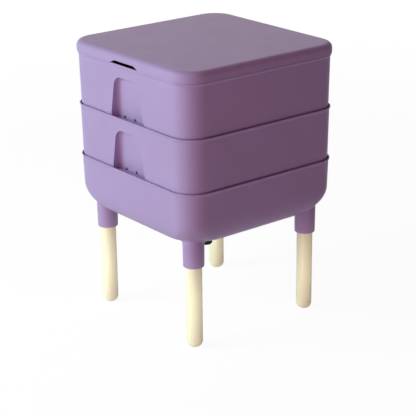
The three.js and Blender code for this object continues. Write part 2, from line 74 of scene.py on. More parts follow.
LID_EDGE = high("upper_tray", 2) + GAP
LID_TOP = high("lid", 2)
LID_HALF = high("lid", 0)
TRAY_RIM = high("lower_tray", 2)
TRAY_FOOT = low("lower_tray", 2)
TRAY_PITCH = high("upper_tray", 2) - TRAY_RIM
RIM_HALF = high("lower_tray", 0)
BASE_RIM = high("collector_base", 2)
SOCKET_MOUTH = low("collector_base", 2)
LEG_TOP = high("leg_front_right", 2)
LEG_RADIUS = (high("leg_front_right", 0) - low("leg_front_right", 0)) / 2
LEG_PLACE = (high("leg_front_right", 0) + low("leg_front_right", 0)) / 2
TAP_TOP = high("tap_body", 2)
TAP_FOOT = low("tap_body", 2)
FLANGE_TOP = low("tap_outer_washer", 2) - GAP
PLUG_AXIS = (high("tap_plug", 2) + low("tap_plug", 2)) / 2
LEVER_FRONT = low("tap_lever", 1)
LEVER_BACK = high("tap_lever", 1)
LEVER_TIP = low("tap_lever", 0)

# Square stack
FOOT_HALF = 185
WALL_TOP_HALF = 187.2
WALL = 3
CORNER = 44
LEAST_CORNER = 40
PLUG_HALF = 180.7
PLUG_DEPTH = 5.5
LEDGE_HALF = 181.5
LEDGE_DROP = 8
LEDGE_THICKNESS = 2.5
MOUTH_HALF = 186
BEAD_DROP = 7
BEAD_REACH = 5.2
BEAD_STEPS = 7
LIP_WIDTH = 1.8
LEAD_IN = 4
RAMP_DROP = 15.5
WALL_HEIGHT = 103.8
SHADOW_DEPTH = 1.7
SHADOW_TOP = 9.2

# Recess in the front and back of a tray, from the tray's shoulder
RECESS_FOOT_HALF = 54
RECESS_TOP_HALF = 35.8
RECESS_CROWN = 87.8
RECESS_SHELF = 1.5
RECESS_BACK_FOOT = -166.8
RECESS_BACK_TOP = -177.2
RECESS_WALL = 2.5
RECESS_CORNER = 18
POCKET_FRONT = -200
RECESS_FRONT = -210
VENT_HALF = 3.4
VENT_HEIGHT = 6.2
VENT_PITCH = 33
VENT_LENGTH = 12
VENT_PEAK = 0.12
VENT_FLARE = 2.2
HOLE_RADIUS = 2.5
HOLE_PITCH = 38
HOLE_COUNT = 8
HOLE_STEPS = 20

# Collector base, from its underside
BASE_HEIGHT = 113.4
BASE_FOOT_HALF = 185.5
BOTTOM_WIDTH = 38
BOTTOM_HEIGHT = 54
BOTTOM_CORNER = 85
BOTTOM_STEPS = 12
SOCKET_RADIUS = LEG_RADIUS + 4.6
SOCKET_ROOF = 30
SOCKET_BLEND = 5
BLEND_STEPS = 6
DRAIN_FALL = 5
DRAIN_HALF = 26
DRAIN_CORNER = 22
DRAIN_FLAT_HALF = 20
DRAIN_FLAT_CORNER = 16

# Legs
LEG_END = 12.8
LEG_HEAD = 2

# Lid
LID_FILLET = 12.4
RIB_OUTER = 185
RIB_INNER = 182.8
RIB_DROP = 6
NOTCH_FOOT_HALF = 45.6
NOTCH_TOP_HALF = 31.7
NOTCH_HEIGHT = 6.5
NOTCH_DEPTH = 12
NOTCH_CORNER = 4
NOTCH_LIP = 0.8

# Tap
BORE_RADIUS = 7.8
TAIL_RADIUS = 10
THREAD_DEPTH = 0.6
THREAD_PITCH = 3
THREAD_TURNS = 6
FLANGE_RADIUS = 18
FLANGE_HEIGHT = 4
BODY_RADIUS = 13.4
BARREL_HALF = 20
BARREL_RADIUS = 14.9
PLUG_RADIUS = 11.6
SEAL_DEPTH = 1.6
SEAL_HALF = 1.2
CLIP_DEPTH = 1.5
CLIP_INSET = 1.2
CLIP_PROUD = 2.8
CLIP_MOUTH = 6
EYE_ANGLE = 35
EYE_RADIUS = 2.3
EYE_HOLE = 0.9
NUT_ACROSS = 30
NUT_FACE = 15.2
NUT_TURNING = 1.4
ARM_THICKNESS = 5
ARM_HEIGHT = 12.6
ARM_TAPER = 0.86
ARM_TIP = 5.2
ARM_EDGE = 1.1
RIDGE_COUNT = 4
RIDGE_PITCH = 3
RIDGE_RADIUS = 0.9
RIDGE_HALF = 4

# Fineness
CORNER_STEPS = 16
ROUND_STEPS = 64
ARC_STEP = math.radians(15)
NEAR = 0.004
LEVEL = 0.02
DOUBLES = 0.005
SMOOTH_ANGLE = math.radians(35)

# Height beside a rim over which the plastic is painted paler: a painted highlight along each rim,
# broken into patches that also stand for wear
RIM_HIGHLIGHT_BAND = 4

# Camera, fitted to the photograph
CAMERA_AIM = (0.00331, 0.00417, 0.21074)
CAMERA_AZIMUTH = 51.573
CAMERA_ELEVATION = 20.317
CAMERA_ROLL = -0.661
CAMERA_DISTANCE = 2.8376
CAMERA_LENS = 121.56
CAMERA_SENSOR = 36
CAMERA_SIGHT = 50

# Surroundings, where a strength of 1 is white
FLOOR_SIZE = 14
FLOOR_GLOW = 1.06
SHADOW_SHARE = 0.12
WORLD_LIGHT = 0.128
WORLD_COLOUR = (1.0, 0.49, 0.66, 1)
WHITE = (1, 1, 1, 1)


class WormerySettings(bpy.types.PropertyGroup):
    """Sizes and colours of the wormery that someone may want to change"""
    rim_rounding: FloatProperty(
        name="Rim rounding", description="Radius of the rounded top edge of each rim",
        default=1.2 * MM, min=0.2 * MM, max=1.4 * MM, unit="LENGTH")
    edge_rounding: FloatProperty(
        name="Edge rounding", description="Radius of the plain moulded edges",
        default=1.0 * MM, min=0.2 * MM, max=1.4 * MM, unit="LENGTH")
    recess_rounding: FloatProperty(
        name="Recess rounding", description="Radius where a recess's sides meet its back",
        default=8 * MM, min=1 * MM, max=14 * MM, unit="LENGTH")
    lip_rounding: FloatProperty(
        name="Recess lip", description="Width of the rounded lip round a recess",
        default=1.8 * MM, min=0.2 * MM, max=2.8 * MM, unit="LENGTH")
    lid_crown: FloatProperty(
        name="Lid crown", description="Rise of the lid's top from its edge to its middle",
        default=0.9 * MM, min=0.0, max=2 * MM, unit="LENGTH")
    plastic_colour: FloatVectorProperty(
        name="Plastic colour", description="Colour of the lid, trays and base",
        default=(0.4, 0.286, 0.5), size=3, min=0, max=1, subtype="COLOR")
    wood_light: FloatVectorProperty(
        name="Pale wood", description="Colour of the legs between the grain lines",
        default=(0.94, 0.89, 0.66), size=3, min=0, max=1, subtype="COLOR")
    wood_dark: FloatVectorProperty(
        name="Wood grain", description="Colour of the legs' grain lines",
        default=(0.86, 0.75, 0.49), size=3, min=0, max=1, subtype="COLOR")
    tap_colour: FloatVectorProperty(
        name="Tap colour", description="Colour of the drain tap",
        default=(0.008, 0.007, 0.009), size=3, min=0, max=1, subtype="COLOR")
    rubber_colour: FloatVectorProperty(
        name="Rubber colour", description="Colour of the washers and the seal ring",
        default=(0.035, 0.035, 0.036), size=3, min=0, max=1, subtype="COLOR")
    steel_colour: FloatVectorProperty(
        name="Steel colour", description="Colour of the spring clip",
        default=(0.62, 0.63, 0.64), size=3, min=0, max=1, subtype="COLOR")


# Profiles and rings


class Ring(NamedTuple):
    """A level outline: a rounded square, or a circle where it has no corner"""
    reach: float
    height: float
    corner: Optional[float]

    def holds(self, point):
        """Whether a point lies on this outline"""
        x, y, z = (abs(point.x) / MM, abs(point.y) / MM, point.z / MM)
        if abs(z - self.height) > NEAR:
            return False
        if self.corner is None:
            return abs(math.hypot(x, y) - self.reach) < NEAR
        inner = self.reach - self.corner
        past = (x - inner, y - inner)
        outside = math.hypot(max(past[0], 0), max(past[1], 0))
        return abs(outside + min(max(past), 0) - self.corner) < NEAR


def corner_at(reach):
    """Corner radius of the stack's outline at a half width"""
    return max(CORNER + reach - FOOT_HALF, LEAST_CORNER)


def rounded(points):
    """Reach and height pairs of a profile, with each corner rounded by its own radius"""
    pairs = []
    for i, (x, z, radius) in enumerate(points):
        if radius <= 0 or i in (0, len(points) - 1):
            pairs.append((x, z))
            continue
        before, after = points[i - 1], points[i + 1]
        start = math.atan2(before[1] - z, before[0] - x)
        end = math.atan2(after[1] - z, after[0] - x)
        turn = (end - start + math.pi) % (2 * math.pi) - math.pi
        run = radius / math.tan(abs(turn) / 2)
        middle = (start + turn / 2, radius / math.sin(abs(turn) / 2))
        centre = (x + middle[1] * math.cos(middle[0]), z + middle[1] * math.sin(middle[0]))
        first = (x + run * math.cos(start), z + run * math.sin(start))
        last = (x + run * math.cos(end), z + run * math.sin(end))
        a = math.atan2(first[1] - centre[1], first[0] - centre[0])
        b = math.atan2(last[1] - centre[1], last[0] - centre[0])
        sweep = (b - a + math.pi) % (2 * math.pi) - math.pi
        steps = max(2, math.ceil(abs(sweep) / ARC_STEP))
        for k in range(steps + 1):
            angle = a + sweep * k / steps
            pairs.append((centre[0] + radius * math.cos(angle),
                          centre[1] + radius * math.sin(angle)))
    return pairs


def square_rings(pairs, rise=0):
    return [Ring(x, z + rise, corner_at(x)) for x, z in pairs]


def round_rings(pairs):
    return [Ring(x, z, None) for x, z in pairs]


# Modelling steps


def object_mode():
    """Leaves edit mode and selects nothing"""
    active = bpy.context.view_layer.objects.active
    if active and active.mode != "OBJECT":
        bpy.ops.object.mode_set(mode="OBJECT")
    bpy.ops.object.select_all(action="DESELECT")


def make_active(piece):
    object_mode()
    piece.select_set(True)
    bpy.context.view_layer.objects.active = piece


def edit(piece):
    make_active(piece)
    bpy.ops.object.mode_set(mode="EDIT")
    bpy.ops.mesh.select_mode(type="VERT")


def blank(name):
    """A new empty mesh at the origin, open for editing"""
    object_mode()
    bpy.ops.object.add(type="MESH", location=(0, 0, 0))
    piece = bpy.context.active_object
    piece.name = name
    piece.data.name = name
    edit(piece)
    return piece


def block(name, size, middle):
    """A box by its size and its middle, open for editing, for shaping on"""
    piece = blank(name)
    bpy.ops.mesh.primitive_cube_add(size=1, location=(0, 0, 0))
    bpy.ops.transform.resize(value=[value * MM for value in size])
    bpy.ops.transform.translate(value=[value * MM for value in middle])
    return piece


def faces_out():
    """Turns all faces of the piece in hand outwards and leaves edit mode"""
    bpy.ops.mesh.select_all(action="SELECT")
    bpy.ops.mesh.normals_make_consistent(inside=False)
    object_mode()


def pick_points(piece, test):
    """Selects the points that pass a test, and what lies between them"""
    bpy.ops.mesh.select_mode(type="VERT")
    bpy.ops.mesh.select_all(action="DESELECT")
    mesh = bmesh.from_edit_mesh(piece.data)
    for vertex in mesh.verts:
        vertex.select = test(vertex.co)
    mesh.select_flush(True)
    bmesh.update_edit_mesh(piece.data)


def pick_edges(piece, test):
    """Selects the edges that pass a test, and counts them"""
    bpy.ops.mesh.select_mode(type="EDGE")
    bpy.ops.mesh.select_all(action="DESELECT")
    mesh = bmesh.from_edit_mesh(piece.data)
    count = 0
    for edge in mesh.edges:
        if test(edge):
            edge.select = True
            count += 1
    mesh.select_flush_mode()
    bmesh.update_edit_mesh(piece.data)
    return count


def stretch(piece, test, factors):
    """Resizes the points that pass a test, about the origin"""
    pick_points(piece, test)
    bpy.ops.transform.resize(value=factors, center_override=(0, 0, 0))


def round_edges(piece, test, width, segments, clamp=False):
    """Bevels the edges that pass a test, in edit mode"""
    if not pick_edges(piece, test):
        raise RuntimeError(f"no edge of {piece.name} passes the test for rounding")
    bpy.ops.mesh.bevel(
        offset=width * MM, segments=segments, affect="EDGES", profile=0.5, clamp_overlap=clamp)


def add_ring(ring, steps):
    if ring.corner is None:
        bpy.ops.mesh.primitive_circle_add(
            vertices=steps, radius=ring.reach * MM, location=(0, 0, ring.height * MM))
        return
    bpy.ops.mesh.primitive_plane_add(size=2 * ring.reach * MM, location=(0, 0, ring.height * MM))
    bpy.ops.mesh.bevel(offset=ring.corner * MM, segments=steps, affect="VERTICES", profile=0.5)
    bpy.ops.mesh.delete(type="ONLY_FACE")


def bridge(piece, first, second):
    pick_points(piece, lambda point: first.holds(point) or second.holds(point))
    bpy.ops.mesh.bridge_edge_loops()


def cap(piece, ring):
    pick_points(piece, ring.holds)
    bpy.ops.mesh.edge_face_add()


def parted(rings):
    """Rings whose neighbours are never quite level, because bridging level rings can cross them"""
    apart = [rings[0]]
    for ring in rings[1:]:
        if abs(ring.height - apart[-1].height) < LEVEL:
            ring = ring._replace(height=apart[-1].height - LEVEL)
        apart.append(ring)
    return apart


def shell(name, rings, steps=CORNER_STEPS, closed=False):
    """A closed form through level rings; its two ends are capped, or joined to each other"""
    rings = parted(rings)
    piece = blank(name)
    for ring in rings:
        bpy.ops.mesh.select_all(action="DESELECT")
        add_ring(ring, steps)
    for first, second in zip(rings, rings[1:]):
        bridge(piece, first, second)
    if closed:
        bridge(piece, rings[-1], rings[0])
    else:
        cap(piece, rings[0])
        cap(piece, rings[-1])
    faces_out()
    return piece


def combine(piece, tool, operation):
    """Cuts a tool from a piece, joins it or keeps what they share, and deletes the tool"""
    make_active(piece)
    modifier = piece.modifiers.new("combine", "BOOLEAN")
    modifier.operation = operation
    modifier.solver = "EXACT"
    modifier.object = tool
    bpy.ops.object.modifier_apply(modifier="combine")
    object_mode()
    bpy.data.objects.remove(tool)


def joined(pieces):
    """One object of several meshes"""
    object_mode()
    for piece in pieces:
        piece.select_set(True)
    bpy.context.view_layer.objects.active = pieces[0]
    bpy.ops.object.join()
    return pieces[0]


def placed(piece, move=(0, 0, 0), turn=(0, 0, 0)):
    """Turns a piece about the origin and moves it, with its place in its mesh"""
    make_active(piece)
    piece.rotation_euler = turn
    piece.location = [value * MM for value in move]
    bpy.ops.object.transform_apply(location=True, rotation=True, scale=True)
    return piece


def copy_of(piece, name, move=(0, 0, 0), turn=0):
    """A copy with its own mesh, turned about the upright axis and moved"""
    make_active(piece)
    bpy.ops.object.duplicate(linked=False)
    twin = bpy.context.active_object
    twin.name = name
    twin.data.name = name
    return placed(twin, move, (0, 0, turn))


def spread(piece, places):
    """Copies of a piece at several places as one object, which take the piece's place"""
    copies = [copy_of(piece, piece.name + "_copy", place) for place in places]
    bpy.data.objects.remove(piece)
    return joined(copies)


def front_and_back(piece):
    """A piece for the stack's front together with its copy for the back"""
    return joined([piece, copy_of(piece, piece.name + "_back", turn=math.pi)])


def turned(name, profile, steps=ROUND_STEPS, closed=False):
    """A turned form about the upright axis, from reach, height and rounding"""
    return shell(name, round_rings(rounded(profile)), steps, closed)


def turned_along_y(name, profile, steps=ROUND_STEPS, closed=False):
    """A turned form about the plug's axis, from reach, place along it and rounding"""
    return placed(turned(name, profile, steps, closed), (0, 0, PLUG_AXIS), (-math.pi / 2, 0, 0))


def soften(piece, test, width, segments):
    """Rounds the edges of a whole piece that pass a test, no further than they have room"""
    edit(piece)
    round_edges(piece, test, width, segments, clamp=True)
    object_mode()


def finish_piece(piece, body, nodes, slot):
    """Smooths a piece's curves, keeps its flats flat, and gives it its body, slot and material"""
    edit(piece)
    bpy.ops.mesh.select_all(action="SELECT")
    bpy.ops.mesh.remove_doubles(threshold=DOUBLES * MM)
    bpy.ops.mesh.normals_make_consistent(inside=False)
    make_active(piece)
    bpy.ops.object.shade_smooth_by_angle(angle=SMOOTH_ANGLE)
    modifier = piece.modifiers.new("flat sides", "WEIGHTED_NORMAL")
    modifier.keep_sharp = True
    bpy.ops.object.modifier_apply(modifier="flat sides")
    piece.data.materials.clear()
    piece.data.materials.append(material(slot))
    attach(piece, body)
    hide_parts(*nodes)
    object_mode()


# Materials


class Wire:
    """A socket that adds a Math node when it is used in an expression"""

    def __init__(self, paint, socket):
        self.paint = paint
        self.socket = socket

    def through(self, operation, first, second):
        return self.paint.add("ShaderNodeMath", {"operation": operation}, {0: first, 1: second})

    def __add__(self, other):
        return self.through("ADD", self, other)

    __radd__ = __add__

    def __sub__(self, other):
        return self.through("SUBTRACT", self, other)

    def __rsub__(self, other):
        return self.through("SUBTRACT", other, self)

    def __mul__(self, other):
        return self.through("MULTIPLY", self, other)

    __rmul__ = __mul__


class Paint:
    """The nodes of a material or of the world"""

    def __init__(self, owner):
        owner.use_nodes = True
        self.owner = owner
        self.tree = owner.node_tree

    def add(self, kind, settings, inputs, output=0):
        """A node with its settings and sockets, as the wire that leaves it"""
        node = self.tree.nodes.new(kind)
        for key, value in settings.items():
            if key == "stops":
                self.set_stops(node.color_ramp, value)
            else:
                setattr(node, key, value)
        for key, value in inputs.items():
            self.feed(node.inputs[key], value)
        return Wire(self, node.outputs[output])

    def set_stops(self, ramp, stops):
        while len(ramp.elements) < len(stops):
            ramp.elements.new(0.5)
        for element, (place, value) in zip(ramp.elements, stops):
            element.position = place
            element.color = (value, value, value, 1)

    def feed(self, socket, value):
        if isinstance(value, Wire):
            self.tree.links.new(value.socket, socket)
        else:
            socket.default_value = value

    def place(self, scale=(1, 1, 1)):
        """Object coordinates, drawn out by a scale along each axis"""
        spot = self.add("ShaderNodeTexCoord", {}, {}, "Object")
        return self.add("ShaderNodeMapping", {}, {"Vector": spot, "Scale": scale})

    def noise(self, spot, scale, detail=2.0, roughness=0.5):
        inputs = {"Vector": spot, "Scale": scale, "Detail": detail, "Roughness": roughness}
        return self.add("ShaderNodeTexNoise", {}, inputs, 0)

    def steps(self, value, stops):
        return self.add("ShaderNodeValToRGB", {"stops": stops}, {"Fac": value})

    def blend(self, factor, first, second):
        inputs = {0: factor, 6: first, 7: second}
        return self.add("ShaderNodeMix", {"data_type": "RGBA"}, inputs, 2)

    def bump(self, height, distance, strength=1.0):
        inputs = {"Height": height, "Distance": distance, "Strength": strength}
        return self.add("ShaderNodeBump", {}, inputs)

    def surface(self, **values):
        """Feeds the surface shader's sockets and gives the material"""
        shader = self.tree.nodes["Principled BSDF"]
        for key, value in values.items():
            self.feed(shader.inputs[key.replace("_", " ")], value)
        return self.owner


def new_paint(name):
    return Paint(bpy.data.materials.new(name))


def tinted(colour, factor):
    return tuple(min(1.0, channel * factor) for channel in colour) + (1.0,)


def plastic_material(paint, settings):
    """Satin moulded plastic: faint clouding, a fine spark-eroded grain, and each rim painted paler in
    patches, a painted highlight that also stands for wear
    """
    spot = paint.place()
    colour = tuple(settings.plastic_colour)
    clouds = paint.noise(spot, 9.0, 4.0, 0.6)
    cloudy = paint.blend(clouds, tinted(colour, 0.92), tinted(colour, 1.08))
    height = paint.add("ShaderNodeSeparateXYZ", {}, {"Vector": spot}, "Z")
    from_rim = paint.add("ShaderNodeMath", {"operation": "PINGPONG"}, {
        0: height - TRAY_RIM * MM, 1: TRAY_PITCH * MM / 2})
    # Painted highlight: a paler band at each rim's height, in noise patches that also stand for wear,
    # blended into the base colour
    rim = paint.steps(from_rim * (1 / (RIM_HIGHLIGHT_BAND * MM)), [(0.1, 1.0), (0.6, 0.0)])
    rim_patches = paint.steps(paint.noise(spot, 60.0, 6.0, 0.7), [(0.45, 0.0), (0.75, 1.0)])
    rim_highlight_and_wear = paint.blend(rim * rim_patches * 0.35, cloudy, tinted(colour, 1.35))
    grain = paint.noise(spot, 1000.0, 3.0, 0.65)
    flow = paint.noise(paint.place((1, 1, 0.3)), 26.0, 3.0)
    return paint.surface(
        Base_Color=rim_highlight_and_wear, Roughness=0.44 + 0.10 * flow + rim * rim_patches * 0.06,
        Normal=paint.bump(grain * 0.8 + flow * 0.2, 0.12 * MM, 0.7),
        Specular_IOR_Level=0.17, Sheen_Weight=0.05, Sheen_Roughness=0.6)


def wood_material(paint, settings):
    """Pale sanded wood: long grain, fine pores and slightly uneven colour"""
    light = tuple(settings.wood_light)
    dark = tuple(settings.wood_dark)
    bands = paint.noise(paint.place((1, 1, 0.06)), 170.0, 4.0, 0.6)
    lines = paint.steps(bands, [(0.42, 0.0), (0.62, 1.0)])
    specks = paint.noise(paint.place((1, 1, 0.035)), 1300.0)
    pores = paint.steps(specks, [(0.58, 0.0), (0.72, 1.0)])
    cloud = paint.noise(paint.place(), 12.0)
    grained = paint.blend(lines * 0.45, tinted(light, 1.0), tinted(dark, 1.0))
    streaked = paint.blend(pores * 0.4, grained, tinted(dark, 0.82))
    return paint.surface(
        Base_Color=paint.blend(cloud * 0.25, streaked, tinted(light, 1.04)),
        Roughness=0.5 + 0.12 * pores + 0.06 * bands, Specular_IOR_Level=0.3,
        Normal=paint.bump(bands * 0.5 - pores * 0.5, 0.1 * MM, 0.5))


def tap_material(paint, settings):
    """Glossy black plastic with a faint ripple and finger-dulled patches"""
    colour = tuple(settings.tap_colour)
    ripple = paint.noise(paint.place(), 420.0)
    patches = paint.noise(paint.place(), 90.0, 4.0, 0.6)
    shade = paint.blend(patches, tinted(colour, 0.85), tinted(colour, 1.3))
    return paint.surface(
        Base_Color=shade, Roughness=0.3 + 0.16 * patches, Specular_IOR_Level=0.12,
        Normal=paint.bump(ripple, 0.05 * MM, 0.35))


def rubber_material(paint, settings):
    """Matt black rubber with a dusty bloom"""
    colour = tuple(settings.rubber_colour)
    bloom = paint.noise(paint.place(), 160.0, 5.0, 0.65)
    grit = paint.noise(paint.place(), 2600.0)
    shade = paint.blend(bloom * 0.6, tinted(colour, 0.9), tinted(colour, 1.9))
    return paint.surface(
        Base_Color=shade, Roughness=0.78 + 0.12 * bloom,
        Normal=paint.bump(grit, 0.04 * MM, 0.5))


def steel_material(paint, settings):
    """Bright spring steel with fine lines of drawing"""
    colour = tuple(settings.steel_colour)
    lines = paint.noise(paint.place((1, 0.08, 1)), 2200.0, 3.0, 0.6)
    stain = paint.noise(paint.place(), 240.0, 3.0, 0.6)
    shade = paint.blend(stain * 0.5, tinted(colour, 1.0), tinted(colour, 0.82))
    return paint.surface(
        Base_Color=shade, Metallic=1.0, Roughness=0.24 + 0.14 * lines,
        Normal=paint.bump(lines, 0.02 * MM, 0.4))


MAKERS = {
    "moulded_plastic": plastic_material,
    "leg_wood": wood_material,
    "tap_plastic": tap_material,
    "seal_rubber": rubber_material,
    "clip_steel": steel_material,
}


def material(slot):
    """The material of a slot, made the first time that it is asked for"""
    name = slot.replace("_", " ")
    made = bpy.data.materials.get(name)
    return made or MAKERS[slot](new_paint(name), bpy.context.scene.wormery)


# Mouldings


def rim_profile(top, rounding):
    """Outside and inside of a unit's rim, from its wall up, over and down to the ledge's ramp"""
    flare = []
    wall_slope = (WALL_TOP_HALF - FOOT_HALF) / WALL_HEIGHT
    foot = WALL_TOP_HALF - wall_slope * BEAD_DROP
    for i in range(BEAD_STEPS + 1):
        share = i / BEAD_STEPS
        ease = share * share * (3 - 2 * share)
        flare.append((foot + (RIM_HALF - foot) * ease, top - BEAD_DROP + BEAD_REACH * share, 0))
    return flare + [
        (RIM_HALF, top, rounding),
        (RIM_HALF - LIP_WIDTH, top, 0.5),
        (MOUTH_HALF, top - LEAD_IN, 1.0),
        (MOUTH_HALF, top - LEDGE_DROP, 0.5),
        (LEDGE_HALF, top - LEDGE_DROP, 0.8),
        (LEDGE_HALF, top - LEDGE_DROP - LEDGE_THICKNESS, 0.6),
        (WALL_TOP_HALF - WALL, top - RAMP_DROP, 0.8),
    ]


def tray_outline(settings):
    """A tray's profile from its underside, over its rim and down to its floor"""
    edge = settings.edge_rounding / MM
    shoulder = PLUG_DEPTH
    top = TRAY_RIM - TRAY_FOOT
    outside = [
        (PLUG_HALF - 10, 0, 0),
        (PLUG_HALF, 0, edge),
        (PLUG_HALF, shoulder, 0.5),
        (FOOT_HALF - SHADOW_DEPTH, shoulder, edge),
        (FOOT_HALF - SHADOW_DEPTH, shoulder + SHADOW_TOP - 0.1, 0.2),
        (FOOT_HALF + 0.2, shoulder + SHADOW_TOP, 0.35),
    ]
    inside = [
        (FOOT_HALF - WALL, shoulder + WALL, 2),
        (PLUG_HALF - WALL, shoulder + WALL, 0.8),
        (PLUG_HALF - WALL, WALL, 1.5),
        (PLUG_HALF - WALL - 8, WALL, 0),
    ]
    return rounded(outside + rim_profile(top, settings.rim_rounding / MM) + inside)


def upper_corner(edge, height):
    """Whether an edge runs from front to back, above a height"""
    first, second = (vertex.co for vertex in edge.verts)
    return min(first.z, second.z) > height * MM and abs(first.x - second.x) < MM


def recess_block(name, margin, foot, front, settings):
    """The finger recess as a solid grown by a margin, with round inner corners"""
    crown = RECESS_CROWN + margin
    middle = (foot + crown) / 2
    slope = (RECESS_FOOT_HALF - RECESS_TOP_HALF) / (RECESS_CROWN - RECESS_SHELF)
    back_slope = (RECESS_BACK_TOP - RECESS_BACK_FOOT) / (RECESS_CROWN - RECESS_SHELF)
    foot_half = RECESS_FOOT_HALF + margin
    top_half = foot_half - slope * (crown - RECESS_SHELF)
    back_foot = RECESS_BACK_FOOT + margin
    piece = block(name, (2 * foot_half, back_foot - front, crown - foot),
                  (0, (back_foot + front) / 2, middle))
    stretch(piece, lambda point: point.z > middle * MM, (top_half / foot_half, 1, 1))
    pick_points(piece, lambda point: point.z > middle * MM and point.y > (front + 2) * MM)
    bpy.ops.transform.translate(value=(0, back_slope * (crown - RECESS_SHELF) * MM, 0))
    round_edges(piece, lambda edge: upper_corner(edge, middle), RECESS_CORNER + margin, 10)

    def on_back(vertex):
        back = back_foot + back_slope * (vertex.co.z / MM - RECESS_SHELF)
        return abs(vertex.co.y / MM - back) < 0.6

    round_edges(piece, lambda edge: all(on_back(v) for v in edge.verts)
                and not all(v.co.z < (foot + 0.5) * MM for v in edge.verts),
                settings.recess_rounding / MM + margin, 7)
    faces_out()
    return piece


def vent_block(name):
    """One pointed vent as a solid that runs through a recess's back wall"""
    back = RECESS_BACK_FOOT + 2
    middle = RECESS_SHELF + VENT_HEIGHT / 2
    piece = block(name, (2 * VENT_HALF, VENT_LENGTH, VENT_HEIGHT), (0, back, middle))
    stretch(piece, lambda point: point.z > middle * MM, (VENT_PEAK, 1, 1))
    stretch(piece, lambda point: point.y > back * MM, (VENT_FLARE, 1, 1))
    faces_out()
    return piece


def at_recess_lip(point):
    """Whether a point of a tray at height 0 lies on the outer wall round the front recess"""
    wall = FOOT_HALF + (WALL_TOP_HALF - FOOT_HALF) / WALL_HEIGHT * point.z / MM
    return (abs(abs(point.y) / MM - wall) < 0.15 and abs(point.x) < (RECESS_FOOT_HALF + 1) * MM
            and (RECESS_SHELF - 0.5) * MM < point.z < (RECESS_CROWN + 1) * MM)


def bends(edge, least):
    """Whether the faces beside an edge meet at an angle of at least so many degrees"""
    return len(edge.link_faces) == 2 and edge.calc_face_angle(0) > math.radians(least)


def build_tray(settings):
    """One tray with its shoulder at height 0"""
    tray = shell("tray", square_rings(tray_outline(settings), -PLUG_DEPTH))
    guard = shell("guard", square_rings([
        (PLUG_HALF - 1, -PLUG_DEPTH + 1), (PLUG_HALF - 1, 1),
        (FOOT_HALF - 1, 1), (WALL_TOP_HALF - 1, WALL_HEIGHT)]))
    pockets = front_and_back(
        recess_block("pocket", RECESS_WALL, -PLUG_DEPTH + 0.5, POCKET_FRONT, settings))
    combine(pockets, guard, "INTERSECT")
    combine(tray, pockets, "UNION")
    recess = recess_block("recess", 0, RECESS_SHELF, RECESS_FRONT, settings)
    combine(tray, front_and_back(recess), "DIFFERENCE")
    soften(tray, lambda edge: bends(edge, 25) and all(at_recess_lip(v.co) for v in edge.verts),
           settings.lip_rounding / MM, 4)
    vents = spread(vent_block("vent"), [(i * VENT_PITCH, 0, 0) for i in (0, -1, 1)])
    combine(tray, front_and_back(vents), "DIFFERENCE")
    hole = shell("hole", round_rings([
        (HOLE_RADIUS, -PLUG_DEPTH - 2), (HOLE_RADIUS, -PLUG_DEPTH + WALL + 2)]), HOLE_STEPS)
    places = [(i - (HOLE_COUNT - 1) / 2) * HOLE_PITCH for i in range(HOLE_COUNT)]
    combine(tray, spread(hole, [(x, y, 0) for x in places for y in places]), "DIFFERENCE")
    return tray


def bottom_curve(half, foot, width, height, corner):
    """Rings of a quarter ellipse from a flat foot up to a side wall"""
    rings = []
    start = corner_at(half)
    for i in range(BOTTOM_STEPS + 1):
        turn = i / BOTTOM_STEPS * math.pi / 2
        inset = width * (1 - math.sin(turn))
        rise = height * (1 - math.cos(turn))
        rings.append(Ring(half - inset, foot + rise, start + (corner - start) * (inset / width)))
    return rings


def moved(rings, rise):
    return [ring._replace(height=ring.height + rise) for ring in rings]


def tank_underside(x, y):
    """Height of the tank's rounded underside over a point of the plan"""
    low_turn, high_turn = 0.0, math.pi / 2
    start = corner_at(BASE_FOOT_HALF)
    for _ in range(30):
        turn = (low_turn + high_turn) / 2
        inset = BOTTOM_WIDTH * (1 - math.sin(turn))
        corner = start + (BOTTOM_CORNER - start) * inset / BOTTOM_WIDTH
        inner = BASE_FOOT_HALF - inset - corner
        past = (abs(x) - inner, abs(y) - inner)
        outside = math.hypot(max(past[0], 0), max(past[1], 0)) + min(max(past), 0) > corner
        low_turn, high_turn = (turn, high_turn) if outside else (low_turn, turn)
    return BASE_RIM - BASE_HEIGHT + BOTTOM_HEIGHT * (1 - math.cos(low_turn))


def socket_blend(place):
    """The concave fillet between a socket and the tank, as a solid that reaches into both"""
    profile = []
    for i in range(BLEND_STEPS + 1):
        share = i / BLEND_STEPS
        drop = SOCKET_BLEND * (1 - math.sqrt(1 - (1 - share) ** 2))
        profile.append((SOCKET_RADIUS + SOCKET_BLEND * share, -drop, 0))
    profile.append((SOCKET_RADIUS + SOCKET_BLEND, 1.5, 0))
    profile.append((SOCKET_RADIUS - 1.5, 2, 0))
    profile.append((SOCKET_RADIUS - 1.5, -SOCKET_BLEND - 1, 0))
    piece = placed(turned("socket_blend", profile, closed=True), place)
    edit(piece)
    mesh = bmesh.from_edit_mesh(piece.data)
    for vertex in mesh.verts:
        vertex.co.z += tank_underside(vertex.co.x / MM, vertex.co.y / MM) * MM
    bmesh.update_edit_mesh(piece.data)
    object_mode()
    return piece


